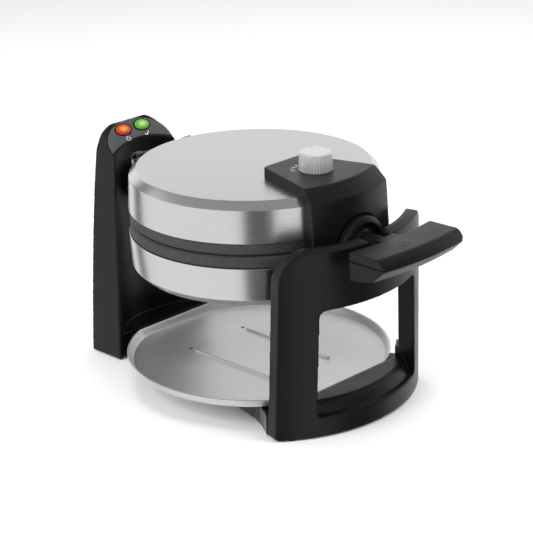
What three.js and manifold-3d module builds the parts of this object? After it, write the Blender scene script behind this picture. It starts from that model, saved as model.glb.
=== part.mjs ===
// Rotary waffle maker: a round head that flips over in a stand, with a hinged lid, a browning
// knob and a slide-out drip tray. Millimetres, +Z up. The front, with the handle, is -Y.
// Inside this file y = 0 is the middle of the round head. The group moves everything along Y,
// so that the origin ends up under the middle of the whole object.
import * as THREE from 'three';
import { mergeVertices } from 'three/addons/utils/BufferGeometryUtils.js';
import Module from 'manifold-3d';

const wasm = await Module();
wasm.setup();

// ---- driving dimensions ---------------------------------------------------------------
const GAP = 0.3;               // clearance between pieces that touch
const AXIS_Z = 150.7;          // height of the flip axis, which is also the parting plane
const WALL_R = 108;            // radius of the steel wall where it meets the plates
const BEVEL_R = 106.5;         // radius at the foot of the bevel
const DISC_R = 100;            // radius of the flat steel disc
const HEAD_H = 44.9;           // parting plane to the face of the disc
const BEVEL_H = 38.4;          // parting plane to the foot of the bevel
const RIM_H = 10.4;            // parting plane to the edge of the steel wall
const SHEET = 1.2;             // thickness of the steel housings
const PLATE_R = 107;           // radius of the cast plates
const PEG_PITCH = 19;          // spacing of the waffle pegs
const PEG_H = 12;              // depth of a waffle pocket

const COVER_R = 121;           // radius of the front covers at the parting plane
const COVER_TOP_R = 118.5;     // radius of the front covers at the foot of their bevel
const COVER_EDGE_R = 108;      // radius at the top of that bevel
const COVER_H = 53.8;          // parting plane to the top of the pad
const COVER_BEVEL_H = 42.5;    // parting plane to the foot of the bevel
const COVER_HALF_W = 44;       // half width of the front covers at the front
const PAD_REAR_Y = -33;        // rear edge of the pad
const PAD_REAR_HALF_W = 23;    // half width of the pad at its rear edge

const KNOB_Y = -72;
const KNOB_R = 14.3;
const KNOB_H = 16;

const HUB_R = 25;              // collar behind the front frame
const NECK_R = 11.6;
const NOTCH_R = 12.4;          // cradle in the frame that carries the neck
const GRIP_HALF_W = 46;
const GRIP_REAR = 156;         // rear edge of the grip, from the head's middle
const GRIP_FRONT = 192;        // front edge of the grip
const GRIP_TOP = 15.8;         // above the axis
const GRIP_SPLIT = 7.3;        // split between the two grips, above the axis
const GRIP_BOTTOM = -9.5;

const FRAME_Y = -10;           // centre of the curved front frame
const FRAME_OUT = 132;
const FRAME_IN = 121.5;
const FRAME_TOP = 164;
const FRAME_TOP_FRONT = 161;   // its upper face slopes down to the front
const LINER_R = 116;           // inner face of the legs beside the window
const LINER_TOP = 118;
const LINER_X = 78;
const COVE_R = 119;            // upper edge of the hollow sill below the window
const FRAME_FOOT_X = 94;       // half width at the ground
const FRAME_TOP_X = 88;        // half width at the shoulders
const SHOULDER_R = 27;
const WINDOW_X = 60;
const WINDOW_LOW = 18;
const WINDOW_HIGH = 111;

const BASE_Z = 1;              // underside of the mouldings, above the rubber feet's faces
const PLATFORM_TOP = 18.4;
const RIDGE_TOP = 28.6;
const FOOT_R = 4;              // rubber feet
const APRON_TOP = 22;

const TOWER_FOOT_X = 62.5;     // half width of the tower at the ground
const TOWER_TOP_X = 36.6;      // half width where the lamp panel starts
const TOWER_FRONT_LOW = 114.7; // y of the tower's front edges at the ground
const TOWER_FRONT_HIGH = 137.5;
const TOWER_REAR_LOW = 152.5;
const TOWER_REAR_HIGH = 163.5;
const PANEL_Z = 181.6;         // lower corners of the sloped lamp panel
const TOWER_TOP = 205.2;
const LEDGE_Z = 23;            // floor of the tower's hollow front
const TOWER_WALL = 2.8;

const TRAY_R = 115.3;
const TRAY_FLOOR_R = 110.5;
const TRAY_BOTTOM = 18.8;
const TRAY_RIM = 27.1;
const TRAY_FRONT = 105.5;
const TRAY_REAR = 104.5;
const TRAY_T = 0.9;
const RIB_X = 32.2;            // long pressed ribs of the tray

const PIN_Y = 112;             // lid hinge pin
const PIN_Z = 182;
const PIN_R = 2.5;
const PIN_FLOAT = 3;           // the pin can rise this far in its slots as the batter swells

const SHAFT_R = 8;             // rear pivot shaft
const LAMP_X = 11.1;
const LAMP_R = 6.5;
const PART_SHIFT_Y = (GRIP_FRONT - TOWER_REAR_HIGH) / 2;

// ---- materials ------------------------------------------------------------------------
function finish(color, roughness, metalness) {
  return new THREE.MeshStandardMaterial({ color, roughness, metalness });
}
const BLACK = finish(0x232527, 0.5, 0);
const GREY = finish(0x55575a, 0.5, 0);
const STEEL = finish(0xc9ccca, 0.35, 1);
const BARE_STEEL = finish(0x9a9d9e, 0.4, 1);
const CAST = finish(0x3c3d3f, 0.6, 0.3);
const SILVER = finish(0xbfc1c0, 0.4, 0.8);
const RUBBER = finish(0x1b1b1c, 0.9, 0);
const LAMP_RED = finish(0xd8502a, 0.25, 0);
const LAMP_GREEN = finish(0x5cb540, 0.25, 0);
const BRASS = finish(0xb79a56, 0.35, 1);
const BOARD = finish(0x2d6a3c, 0.6, 0);
const ALUMINIUM = finish(0xc3c5c6, 0.35, 1);
const HEATER = finish(0x6f6a66, 0.5, 0.9);
const NYLON = finish(0xd8d5cb, 0.6, 0);

// ---- solids ---------------------------------------------------------------------------
function solid(geometry) {
  geometry.deleteAttribute('normal');
  geometry.deleteAttribute('uv');
  const merged = mergeVertices(geometry, 1e-4);
  return new wasm.Manifold(new wasm.Mesh({
    numProp: 3,
    vertProperties: new Float32Array(merged.attributes.position.array),
    triVerts: new Uint32Array(merged.index.array),
  }));
}

function geometryOf(shape) {
  const mesh = shape.getMesh();
  const geometry = new THREE.BufferGeometry();
  geometry.setAttribute('position', new THREE.BufferAttribute(mesh.vertProperties, 3));
  geometry.setIndex(new THREE.BufferAttribute(mesh.triVerts, 1));
  return geometry;
}

function box(x0, x1, y0, y1, z0, z1) {
  const g = new THREE.BoxGeometry(x1 - x0, y1 - y0, z1 - z0);
  g.translate((x0 + x1) / 2, (y0 + y1) / 2, (z0 + z1) / 2);
  return solid(g);
}

function outline(points) {
  return new THREE.Shape(points.map(([a, b]) => new THREE.Vector2(a, b)));
}

function roundedRect(halfW, y0, y1, r) {
  const s = new THREE.Shape();
  s.moveTo(-halfW + r, y0);
  s.lineTo(halfW - r, y0);
  s.absarc(halfW - r, y0 + r, r, -Math.PI / 2, 0);
  s.absarc(halfW - r, y1 - r, r, 0, Math.PI / 2);
  s.absarc(-halfW + r, y1 - r, r, Math.PI / 2, Math.PI);
  s.absarc(-halfW + r, y0 + r, r, Math.PI, Math.PI * 1.5);
  return s;
}

const AXES = {
  x: [new THREE.Vector3(0, 1, 0), new THREE.Vector3(0, 0, 1), new THREE.Vector3(1, 0, 0)],
  y: [new THREE.Vector3(1, 0, 0), new THREE.Vector3(0, 0, 1), new THREE.Vector3(0, -1, 0)],
  z: [new THREE.Vector3(1, 0, 0), new THREE.Vector3(0, 1, 0), new THREE.Vector3(0, 0, 1)],
};

// Extrudes an outline along an axis: (y, z) outlines along x, (x, z) along y, (x, y) along z.
function extrude(shape, axis, from, to, curveSegments = 8) {
  const depth = to - from;
  const g = new THREE.ExtrudeGeometry(shape, { depth, bevelEnabled: false, curveSegments });
  g.applyMatrix4(new THREE.Matrix4().makeBasis(...AXES[axis]));
  const start = { x: [from, 0, 0], y: [0, to, 0], z: [0, 0, from] }[axis];
  g.translate(...start);
  return solid(g);
}

// Turns a profile of (radius, height) points around the vertical axis through the head.
function lathe(points, segments = 72) {
  const g = new THREE.LatheGeometry(points.map(([r, z]) => new THREE.Vector2(r, z)), segments);
  g.rotateX(Math.PI / 2);
  return solid(g);
}

function cylinder(axis, r, from, to, at = [0, 0, 0], segments = 32, rEnd = r) {
  const g = new THREE.CylinderGeometry(rEnd, r, to - from, segments);
  g.translate(0, (from + to) / 2, 0);
  if (axis === 'z') g.rotateX(Math.PI / 2);
  if (axis === 'x') g.rotateZ(-Math.PI / 2);
  g.translate(...at);
  return solid(g);
}

// A cylinder standing between two radii of a curved wall centred on (0, cy).
function ring(inner, outer, z0, z1, cy, segments = 96) {
  const at = [0, cy, 0];
  const tall = cylinder('z', outer, z0, z1, at, segments);
  return tall.subtract(cylinder('z', inner, z0 - 1, z1 + 1, at, segments));
}

// Mirrors an upper solid, built around the parting plane at z = 0, to the lower half.
function flipOver(upper) {
  const g = geometryOf(upper);
  g.rotateY(Math.PI);
  return solid(g);
}

const part = new THREE.Group();
part.position.y = PART_SHIFT_Y;

function add(name, shape, material, z = 0) {
  const mesh = new THREE.Mesh(shape.isBufferGeometry ? shape : geometryOf(shape), material);
  mesh.name = name;
  mesh.position.z = z;
  part.add(mesh);
}

// ---- head: steel housings -------------------------------------------------------------
// One half of the head, built above the parting plane at z = 0.
function housingShell() {
  const outer = [
    [0, HEAD_H],
    [DISC_R, HEAD_H],
    [BEVEL_R, BEVEL_H],
    [WALL_R, RIM_H + GAP],
  ];
  const inner = [
    [WALL_R - SHEET, RIM_H + GAP],
    [BEVEL_R - SHEET, BEVEL_H - 0.5],
    [DISC_R - 0.5, HEAD_H - SHEET],
    [0, HEAD_H - SHEET],
  ];
  return lathe([...outer, ...inner].reverse(), 64);
}

// The wedge-shaped space that the front cover fills, a little larger than the cover.
function coverWedge(grow, z0, z1) {
  const front = -COVER_R - 20;
  const slope = (COVER_HALF_W - PAD_REAR_HALF_W) / (COVER_EDGE_R - 8 + PAD_REAR_Y);
  const frontHalf = PAD_REAR_HALF_W + slope * (-front + PAD_REAR_Y) + grow;
  const half = Math.min(frontHalf, COVER_HALF_W + 1 + grow);
  const cornerY = PAD_REAR_Y - (COVER_HALF_W + 1 - PAD_REAR_HALF_W) / slope;
  const points = [
    [-half, front],
    [half, front],
    [half, cornerY],
    [PAD_REAR_HALF_W + grow, PAD_REAR_Y + grow],
    [-PAD_REAR_HALF_W - grow, PAD_REAR_Y + grow],
    [-half, cornerY],
  ];
  return extrude(outline(points), 'z', z0, z1);
}

// The steel wall is cut away behind the disc for the black rear covers.
function rearWindow(halfW, z0, z1) {
  return box(-halfW, halfW, 60, 130, z0, z1)
    .subtract(cylinder('z', REAR_CORE_R - GAP, z0 - 1, z1 + 1, [0, 0, 0], 96));
}

const REAR_HALF_W = 66;
const REAR_CORE_R = 101.8;
const stemHole = cylinder('z', 7, 0, 80, [0, KNOB_Y, 0], 24);
const housing = housingShell()
  .subtract(rearWindow(REAR_HALF_W, -1, 80));
const upperHousing = housing.subtract(stemHole);

// Everything inside the outer face of a housing, a gap larger.
const housingRoom = lathe([
  [0, -5],
  [WALL_R + GAP, -5],
  [WALL_R + GAP, RIM_H],
  [BEVEL_R + GAP, BEVEL_H + 0.1],
  [DISC_R + GAP * 0.5, HEAD_H + GAP],
  [0, HEAD_H + GAP],
], 96);

// ---- head: front covers ---------------------------------------------------------------
function coverBody() {
  const profile = [
    [0, GAP],
    [COVER_R, GAP],
    [COVER_TOP_R, COVER_BEVEL_H],
    [COVER_EDGE_R, COVER_H],
    [0, COVER_H],
  ];
  const inner = [
    [0, -1],
    [COVER_R - 3, -1],
    [COVER_TOP_R - 3, COVER_BEVEL_H - 1.5],
    [COVER_EDGE_R - 1.5, COVER_H - 2.6],
    [0, COVER_H - 2.6],
  ];
  const wedge = coverWedge(-GAP, -2, 80);
  const hollow = coverWedge(-2.8, -2, 80).intersect(lathe(inner, 96));
  return wedge.intersect(lathe(profile, 96)).subtract(hollow).subtract(housingRoom);
}

const frontCover = coverBody();

// ---- head: cast plates ----------------------------------------------------------------
// Face up at z = -GAP / 2, so it is built for the lower half and turned over for the lid.
function castPlate() {
  const face = -0.4;
  const deck = face - PEG_H;
  const dish = [
    [0, deck - 3],
    [97, deck - 3],
    [99, -RIM_H],
    [PLATE_R, -RIM_H],
    [PLATE_R, face],
    [98, face],
    [96, deck],
    [0, deck],
  ];
  let plate = lathe(dish, 48);
  const pegs = [];
  const reach = 88;
  for (let i = -4; i < 4; i += 1) {
    for (let j = -4; j < 4; j += 1) {
      const x = (i + 0.5) * PEG_PITCH + Math.sign(i + 0.5) * 2;
      const y = (j + 0.5) * PEG_PITCH + Math.sign(j + 0.5) * 2;
      if (Math.hypot(x, y) < reach) pegs.push([x, y]);
    }
  }
  for (const [x, y] of pegs) {
    const g = new THREE.CylinderGeometry(7.2, 9.4, PEG_H - 2.5, 4, 1);
    g.rotateX(Math.PI / 2);
    g.rotateZ(Math.PI / 4);
    g.translate(x, y, deck + (PEG_H - 2.5) / 2 - 0.2);
    plate = plate.add(solid(g));
  }
  const bars = [
    [96, 2.2],
    [2.2, 96],
  ];
  for (const [hx, hy] of bars) {
    plate = plate.add(box(-hx, hx, -hy, hy, deck - 1, face - 3));
  }
  return plate;
}

const plate = castPlate();

// ---- head: heaters and reflectors -----------------------------------------------------
function heatingElement() {
  const R = 68;
  const open = 0.35;
  class Loop extends THREE.Curve {
    getPoint(t, target = new THREE.Vector3()) {
      const a = open + t * (2 * Math.PI - 2 * open) - Math.PI / 2;
      return target.set(R * Math.cos(a), R * Math.sin(a), 0);
    }
  }
  const section = new THREE.Shape();
  section.absarc(0, 0, 3.2, 0, Math.PI * 2);
  const g = new THREE.ExtrudeGeometry(section, {
    steps: 32, extrudePath: new Loop(), bevelEnabled: false, curveSegments: 4,
  });
  return solid(g);
}

function reflector() {
  const z = -26;
  const profile = [
    [0, z],
    [88, z],
    [92, z + 7],
    [91, z + 7],
    [87.2, z + 0.8],
    [0, z + 0.8],
  ];
  return lathe(profile, 36);
}

const element = heatingElement().translate([0, 0, -19.2]);
const shield = reflector();

// ---- body: lower half of the head -----------------------------------------------------
add('lower_housing', flipOver(housing), STEEL, AXIS_Z);
add('lower_plate', plate, CAST, AXIS_Z);
add('lower_heating_element', element, HEATER, AXIS_Z);
add('lower_reflector', shield, ALUMINIUM, AXIS_Z);

// The collar and neck are split along the parting plane: this is the upper half.
function halfNeck() {
  const keep = box(-60, 60, -200, 0, GAP / 2, 60);
  const y0 = -FRAME_OUT - 24;
  const neck = cylinder('y', NECK_R, y0, -COVER_R + 2, [0, 0, 0], 36);
  const collar = cylinder('y', HUB_R - 3, -COVER_R - 5.5, -COVER_R - 3, [0, 0, 0], 36, HUB_R);
  const collarBack = cylinder('y', HUB_R, -COVER_R - 3, -COVER_R + 3, [0, 0, 0], 36);
  return neck.add(collar).add(collarBack).intersect(keep);
}

function gripOutline() {
  const s = new THREE.Shape();
  const rearMid = -GRIP_REAR - 3;
  s.moveTo(-GRIP_HALF_W, -GRIP_REAR + 2);
  s.quadraticCurveTo(0, 2 * rearMid + GRIP_REAR - 2, GRIP_HALF_W, -GRIP_REAR + 2);
  s.lineTo(GRIP_HALF_W, -GRIP_REAR - 25);
  s.quadraticCurveTo(GRIP_HALF_W - 1, -GRIP_REAR - 31, GRIP_HALF_W - 8, -GRIP_REAR - 32.5);
  s.quadraticCurveTo(0, -2 * GRIP_FRONT + GRIP_REAR + 32.5, -GRIP_HALF_W + 8, -GRIP_REAR - 32.5);
  s.quadraticCurveTo(-GRIP_HALF_W + 1, -GRIP_REAR - 31, -GRIP_HALF_W, -GRIP_REAR - 25);
  return s;
}

// Section of the grip seen from its end: flat top, rounded front, sloping underside.
function gripSection() {
  const front = -GRIP_FRONT - 0.1;
  const s = new THREE.Shape();
  s.moveTo(-GRIP_REAR + 20, GRIP_TOP);
  s.lineTo(front + 7, GRIP_TOP);
  s.quadraticCurveTo(front, GRIP_TOP, front, GRIP_SPLIT - 1);
  s.quadraticCurveTo(front, 0, front + 10, -3.5);
  s.quadraticCurveTo(front + 20, GRIP_BOTTOM, -GRIP_REAR + 3, GRIP_BOTTOM);
  s.lineTo(-GRIP_REAR + 20, GRIP_BOTTOM);
  return s;
}

function grip(low, high) {
  const bar = extrude(gripOutline(), 'z', low, high, 8);
  return bar.intersect(extrude(gripSection(), 'x', -60, 60, 6));
}

// The webs carry the neck into the grips.
function neckWeb(low, high) {
  const points = [
    [-NECK_R + 1, -FRAME_OUT - 16],
    [NECK_R - 1, -FRAME_OUT - 16],
    [24, -GRIP_REAR - 6],
    [-24, -GRIP_REAR - 6],
  ];
  return extrude(outline(points.reverse()), 'z', low, high);
}

const upperNeck = halfNeck();
const upperHandle = upperNeck
  .subtract(box(-60, 60, -220, -GRIP_REAR + 3, -1, GRIP_SPLIT + GAP / 2))
  .add(neckWeb(GRIP_SPLIT + GAP / 2, GRIP_TOP - 2))
  .add(grip(GRIP_SPLIT + GAP / 2, GRIP_TOP));
const lowerNeck = flipOver(upperNeck);
const lowerHandle = lowerNeck
  .add(neckWeb(GRIP_BOTTOM + 1, -GAP / 2))
  .add(grip(GRIP_BOTTOM, GRIP_SPLIT - GAP / 2));

// Both front covers have a round seat for the collar and the neck.
const collarSeat = cylinder('y', HUB_R + GAP, -160, -COVER_R + 4, [0, 0, 0], 36);
const collarBore = cylinder('y', NECK_R + GAP, -160, -COVER_R - 5, [0, 0, 0], 36);
const seatedCover = frontCover.subtract(collarSeat).subtract(collarBore);
add('lower_front_cover', flipOver(seatedCover), BLACK, AXIS_Z);
add('lower_handle', lowerHandle, BLACK, AXIS_Z);

// Rear cover of the lower half, with the pivot flange and the two hinge arms.
const PIN_H = PIN_Z - AXIS_Z;
const ARM_IN = 25;
const ARM_OUT = 35;

function rearSkirt(y1, z0, z1) {
  const shell = cylinder('z', y1, z0, z1, [0, 0, 0], 96);
  const core = cylinder('z', REAR_CORE_R, z0 - 1, z1 + 1, [0, 0, 0], 96);
  const keep = box(-REAR_HALF_W + GAP, REAR_HALF_W - GAP, 60, 130, z0, z1);
  return shell.subtract(core).intersect(keep);
}

function hingeArm(side) {
  const s = new THREE.Shape();
  s.moveTo(110.4, -RIM_H);
  s.lineTo(118, -RIM_H);
  s.lineTo(118, PIN_H + PIN_FLOAT);
  s.absarc(PIN_Y, PIN_H + PIN_FLOAT, 6, 0, Math.PI);
  s.lineTo(106, PIN_H);
  s.lineTo(110.4, PIN_H - 8);
  const x0 = side > 0 ? ARM_IN : -ARM_OUT;
  return extrude(s, 'x', x0, x0 + ARM_OUT - ARM_IN, 6);
}

const pinHole = cylinder('x', PIN_R + 0.15, -50, 50, [0, PIN_Y, PIN_H], 20);
const pinSlot = pinHole
  .add(pinHole.translate([0, 0, PIN_FLOAT]))
  .add(box(-50, 50, PIN_Y - PIN_R - 0.15, PIN_Y + PIN_R + 0.15, PIN_H, PIN_H + PIN_FLOAT));
const shaftHole = cylinder('y', SHAFT_R + 0.15, 100, 140, [0, 0, 0], 32);
let lowerRear = rearSkirt(114, -HEAD_H + 1, -RIM_H - GAP)
  .add(box(-36, 36, 112.6, 118, -30, 18))
  .add(cylinder('y', 20, 117, 124, [0, 0, 0], 40))
  .add(hingeArm(1))
  .add(hingeArm(-1));
lowerRear = lowerRear
  .subtract(cylinder('z', PLATE_R + GAP, -RIM_H - GAP, 60, [0, 0, 0], 96))
  .subtract(pinSlot)
  .subtract(shaftHole);
add('lower_rear_cover', lowerRear, BLACK, AXIS_Z);
const pinAt = [0, PIN_Y, PIN_H];
add('hinge_pin', cylinder('x', PIN_R, -37, 37, pinAt, 20), BARE_STEEL, AXIS_Z);

const shaftTube = cylinder('y', SHAFT_R, 113, 159, [0, 0, 0], 24)
  .subtract(cylinder('y', SHAFT_R - 2, 112, 161, [0, 0, 0], 24))
  .subtract(cylinder('y', SHAFT_R + 1, 156.6, 157.9, [0, 0, 0], 24)
    .subtract(cylinder('y', SHAFT_R - 0.8, 156, 158.5, [0, 0, 0], 24)));
add('pivot_shaft', shaftTube, BARE_STEEL, AXIS_Z);
add('thermal_fuse', cylinder('x', 3.5, -9, 9, [0, 40, -33], 16), SILVER, AXIS_Z);

// ---- body: lid ------------------------------------------------------------------------
add('upper_housing', upperHousing, STEEL, AXIS_Z);
add('upper_plate', flipOver(plate), CAST, AXIS_Z);
add('upper_heating_element', flipOver(element), HEATER, AXIS_Z);
add('upper_reflector', flipOver(shield).subtract(stemHole), ALUMINIUM, AXIS_Z);
const knobHole = cylinder('z', 3.6, 40, 60, [0, KNOB_Y, 0], 24);
add('lid_front_cover', seatedCover.subtract(knobHole), BLACK, AXIS_Z);
add('lid_handle', upperHandle, BLACK, AXIS_Z);

const knuckle = cylinder('x', 6.5, -ARM_IN + GAP, ARM_IN - GAP, pinAt, 24);
const strap = box(-ARM_IN + GAP, ARM_IN - GAP, 104, 112, PIN_H - 5, PIN_H + 5);
const pivotRoom = box(-37, 37, 112.2, 130, -60, PIN_H - 8);
const armRoom = box(ARM_IN - GAP, 50, 102, 130, -1, 60)
  .add(box(-50, -ARM_IN + GAP, 102, 130, -1, 60));
const lidRear = rearSkirt(112, RIM_H + GAP * 2, HEAD_H - 1)
  .subtract(armRoom)
  .add(knuckle)
  .add(strap)
  .subtract(pivotRoom)
  .subtract(pinHole);
add('lid_rear_cover', lidRear, BLACK, AXIS_Z);

const thermostatBody = box(-15, 15, KNOB_Y - 11, KNOB_Y + 11, 28, 40)
  .add(cylinder('z', 5, 39, 45, [0, KNOB_Y, 0], 24))
  .subtract(cylinder('z', 3.2, 36, 60, [0, KNOB_Y, 0], 24));
add('thermostat', thermostatBody, SILVER, AXIS_Z);

// ---- body: browning knob --------------------------------------------------------------
function flutedKnob() {
  const s = new THREE.Shape();
  const flutes = 30;
  for (let i = 0; i < flutes * 2; i += 1) {
    const a = (i / flutes) * Math.PI;
    const r = KNOB_R - (i % 2 ? 0.7 : 0);
    if (i === 0) s.moveTo(r, 0);
    else s.lineTo(r * Math.cos(a), r * Math.sin(a));
  }
  const z0 = COVER_H + GAP;
  const knob = extrude(s, 'z', z0, z0 + KNOB_H);
  const bore = cylinder('z', 3 + 0.15, z0 - 1, z0 + KNOB_H - 4, [0, 0, 0], 24);
  const pointer = box(-0.8, 0.8, 4, KNOB_R + 1, z0 + KNOB_H - 0.6, z0 + KNOB_H + 1);
  return knob.subtract(bore).subtract(pointer).translate([0, KNOB_Y, 0]);
}
add('browning_knob', flutedKnob(), SILVER, AXIS_Z);
const knobShaft = cylinder('z', 3, 36.6, COVER_H + KNOB_H - 4.4, [0, KNOB_Y, 0], 24);
add('knob_shaft', knobShaft, BRASS, AXIS_Z);

// ---- body: drip tray ------------------------------------------------------------------
function trayBlock(inset, z0) {
  const rise = TRAY_RIM - TRAY_BOTTOM;
  const slope = (TRAY_R - TRAY_FLOOR_R) / rise;
  const low = TRAY_FLOOR_R - inset + slope * (z0 - TRAY_BOTTOM);
  const z1 = TRAY_RIM + (inset ? 1 : 0);
  const high = low + slope * (z1 - z0);
  const cone = cylinder('z', low, z0, z1, [0, 0, 0], 72, high);
  return cone.intersect(box(-130, 130, -TRAY_FRONT + inset, TRAY_REAR - inset, z0, z1));
}

function drip_tray() {
  let tray = trayBlock(0, TRAY_BOTTOM).subtract(trayBlock(TRAY_T, TRAY_BOTTOM + TRAY_T));
  for (const x of [-RIB_X, RIB_X]) {
    const top = TRAY_BOTTOM + TRAY_T;
    tray = tray.add(extrude(roundedRect(1.7, -78, 58, 1.6), 'z', top - 0.3, top + 0.8, 4)
      .translate([x, 0, 0]));
    tray = tray.subtract(cylinder('z', 2, 0, 40, [x, 62.5, 0], 16));
  }
  return tray;
}
add('drip_tray', drip_tray(), STEEL);

// ---- stand: front frame ---------------------------------------------------------------
function frameOutline() {
  const s = new THREE.Shape();
  const r = SHOULDER_R;
  const x = FRAME_TOP_X;
  s.moveTo(-FRAME_FOOT_X, BASE_Z);
  s.lineTo(FRAME_FOOT_X, BASE_Z);
  s.lineTo(x, FRAME_TOP - r);
  s.quadraticCurveTo(x - 1, FRAME_TOP - 3, x - r, FRAME_TOP);
  s.lineTo(NOTCH_R + 5, FRAME_TOP);
  s.quadraticCurveTo(NOTCH_R, FRAME_TOP, NOTCH_R, FRAME_TOP - 6);
  s.lineTo(NOTCH_R, AXIS_Z);
  s.absarc(0, AXIS_Z, NOTCH_R, 0, Math.PI, true);
  s.lineTo(-NOTCH_R, FRAME_TOP - 6);
  s.quadraticCurveTo(-NOTCH_R, FRAME_TOP, -NOTCH_R - 5, FRAME_TOP);
  s.lineTo(-x + r, FRAME_TOP);
  s.quadraticCurveTo(-x + 1, FRAME_TOP - 3, -x, FRAME_TOP - r);
  return s;
}

function windowOutline() {
  const s = new THREE.Shape();
  const r = 5;
  const w = WINDOW_X;
  s.moveTo(-w - 1 + r, WINDOW_LOW);
  s.lineTo(w + 1 - r, WINDOW_LOW);
  s.quadraticCurveTo(w + 1, WINDOW_LOW, w + 1, WINDOW_LOW + r);
  s.lineTo(w - 2, WINDOW_HIGH - r);
  s.quadraticCurveTo(w - 2, WINDOW_HIGH, w - 2 - r, WINDOW_HIGH);
  s.lineTo(-w + 2 + r, WINDOW_HIGH);
  s.quadraticCurveTo(-w + 2, WINDOW_HIGH, -w + 2, WINDOW_HIGH - r);
  s.lineTo(-w - 1, WINDOW_LOW + r);
  s.quadraticCurveTo(-w - 1, WINDOW_LOW, -w - 1 + r, WINDOW_LOW);
  return s;
}

// Turns a profile around the middle of the curved frame.
function aroundFrame(profile) {
  return lathe([...profile, profile[0]], 96).translate([0, FRAME_Y, 0]);
}

const frameWall = aroundFrame([
  [FRAME_IN, 0],
  [FRAME_OUT, 0],
  [FRAME_OUT, FRAME_TOP_FRONT],
  [FRAME_IN, FRAME_TOP + 1],
]);
const liner = aroundFrame([
  [LINER_R, PLATFORM_TOP + 1],
  [FRAME_IN + 1, PLATFORM_TOP + 1],
  [FRAME_IN + 1, LINER_TOP + 5],
  [LINER_R, LINER_TOP],
])
  .intersect(box(-LINER_X, LINER_X, -160, -60, 0, 130))
  .subtract(box(-WINDOW_X, WINDOW_X, -160, -60, 0, RIDGE_TOP + GAP));
const cove = aroundFrame([
  [COVE_R + GAP, PLATFORM_TOP + GAP * 2],
  [FRAME_IN + 0.1, PLATFORM_TOP + GAP * 2],
  [FRAME_IN + 0.1, WINDOW_LOW - 2],
  [FRAME_OUT - 0.5, WINDOW_LOW - 2],
  [FRAME_OUT - 0.5, WINDOW_LOW],
  [FRAME_OUT - 5, WINDOW_LOW + 0.8],
  [FRAME_OUT - 9.5, RIDGE_TOP - 2.5],
  [COVE_R + GAP, RIDGE_TOP],
]).intersect(box(-WINDOW_X - 1, WINDOW_X + 1, -160, -60, 0, 60));
const frontFrame = frameWall
  .intersect(extrude(frameOutline(), 'y', -160, -60, 8))
  .add(liner)
  .subtract(extrude(windowOutline(), 'y', -160, -60, 4))
  .add(cove);

function footPocket(x, y) {
  return cylinder('z', FOOT_R + GAP, 0, 5, [x, y, 0], 20);
}
const FEET = {
  front_left_foot: [-76, -111.4],
  front_right_foot: [76, -111.4],
  rear_left_foot: [-46, 133],
  rear_right_foot: [46, 133],
};
let footed = frontFrame;
for (const name of ['front_left_foot', 'front_right_foot']) {
  const [x, y] = FEET[name];
  footed = footed.subtract(footPocket(x, y));
}
add('front_frame', footed, BLACK);
for (const [name, [x, y]] of Object.entries(FEET)) {
  add(name, cylinder('z', FOOT_R, 0, 4.7, [x, y, 0], 20), RUBBER);
}

// ---- stand: base ----------------------------------------------------------------------
function waist(inset) {
  const side = [
    [50, 114 - inset],
    [50, 60],
    [61, -14],
    [70, -62],
    [78, -84],
  ];
  const right = side.map(([x, y]) => [x - inset, y]);
  const left = right.map(([x, y]) => [-x, y]).reverse();
  return outline([...right, ...left].reverse());
}

const frameRoom = cylinder('z', FRAME_IN - GAP, 0, 60, [0, FRAME_Y, 0], 96);
const ridgeRoom = cylinder('z', COVE_R - GAP, 0, 60, [0, FRAME_Y, 0], 96);
function frontApron(halfRear, halfFront, z0, z1, rear, cut) {
  const points = [
    [halfRear, rear],
    [-halfRear, rear],
    [-halfFront, -140],
    [halfFront, -140],
  ];
  return extrude(outline(points), 'z', z0, z1).intersect(cut);
}

const pocketRoom = cylinder('z', FRAME_IN - 3.2, -5, 60, [0, FRAME_Y, 0], 96);
const platform = extrude(waist(0), 'z', BASE_Z, PLATFORM_TOP)
  .add(frontApron(78, 88, BASE_Z, PLATFORM_TOP, -83.5, frameRoom))
  .add(frontApron(60, 59, BASE_Z, RIDGE_TOP, -107.5, ridgeRoom))
  .add(box(-50, 50, 107, 114, BASE_Z, APRON_TOP));
const pocket = extrude(waist(3), 'z', -5, PLATFORM_TOP - 3)
  .add(frontApron(75, 85, -5, PLATFORM_TOP - 3, -81, pocketRoom));
add('base_platform', platform.subtract(pocket), BLACK);

const coverPlate = extrude(waist(3 + GAP), 'z', BASE_Z, BASE_Z + 2)
  .add(frontApron(75 - GAP, 85 - GAP, BASE_Z, BASE_Z + 2, -81, pocketRoom
    .subtract(ring(FRAME_IN - 3.2 - GAP, FRAME_IN, -5, 60, FRAME_Y, 96))));
add('base_bottom_cover', coverPlate, BLACK);

// ---- stand: tower ---------------------------------------------------------------------
// A leaning, tapered post. Its outside is where a side profile and a front profile cross.
function towerSide(inset) {
  const lean = (z) => (TOWER_FRONT_HIGH - TOWER_FRONT_LOW) * (z / PANEL_Z);
  const peakY = TOWER_FRONT_HIGH + TOWER_TOP - PANEL_Z;
  const s = new THREE.Shape();
  s.moveTo(TOWER_FRONT_LOW + inset, BASE_Z - inset);
  s.lineTo(TOWER_FRONT_LOW + lean(PANEL_Z) + inset, PANEL_Z - inset * 0.4);
  s.lineTo(peakY + inset * 0.4 - 1, TOWER_TOP - inset - 1);
  s.quadraticCurveTo(TOWER_REAR_HIGH - inset, TOWER_TOP - inset - 3, TOWER_REAR_HIGH - inset, 172);
  s.quadraticCurveTo(TOWER_REAR_HIGH - inset - 2, 110, TOWER_REAR_LOW - inset, BASE_Z - inset);
  return s;
}

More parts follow.
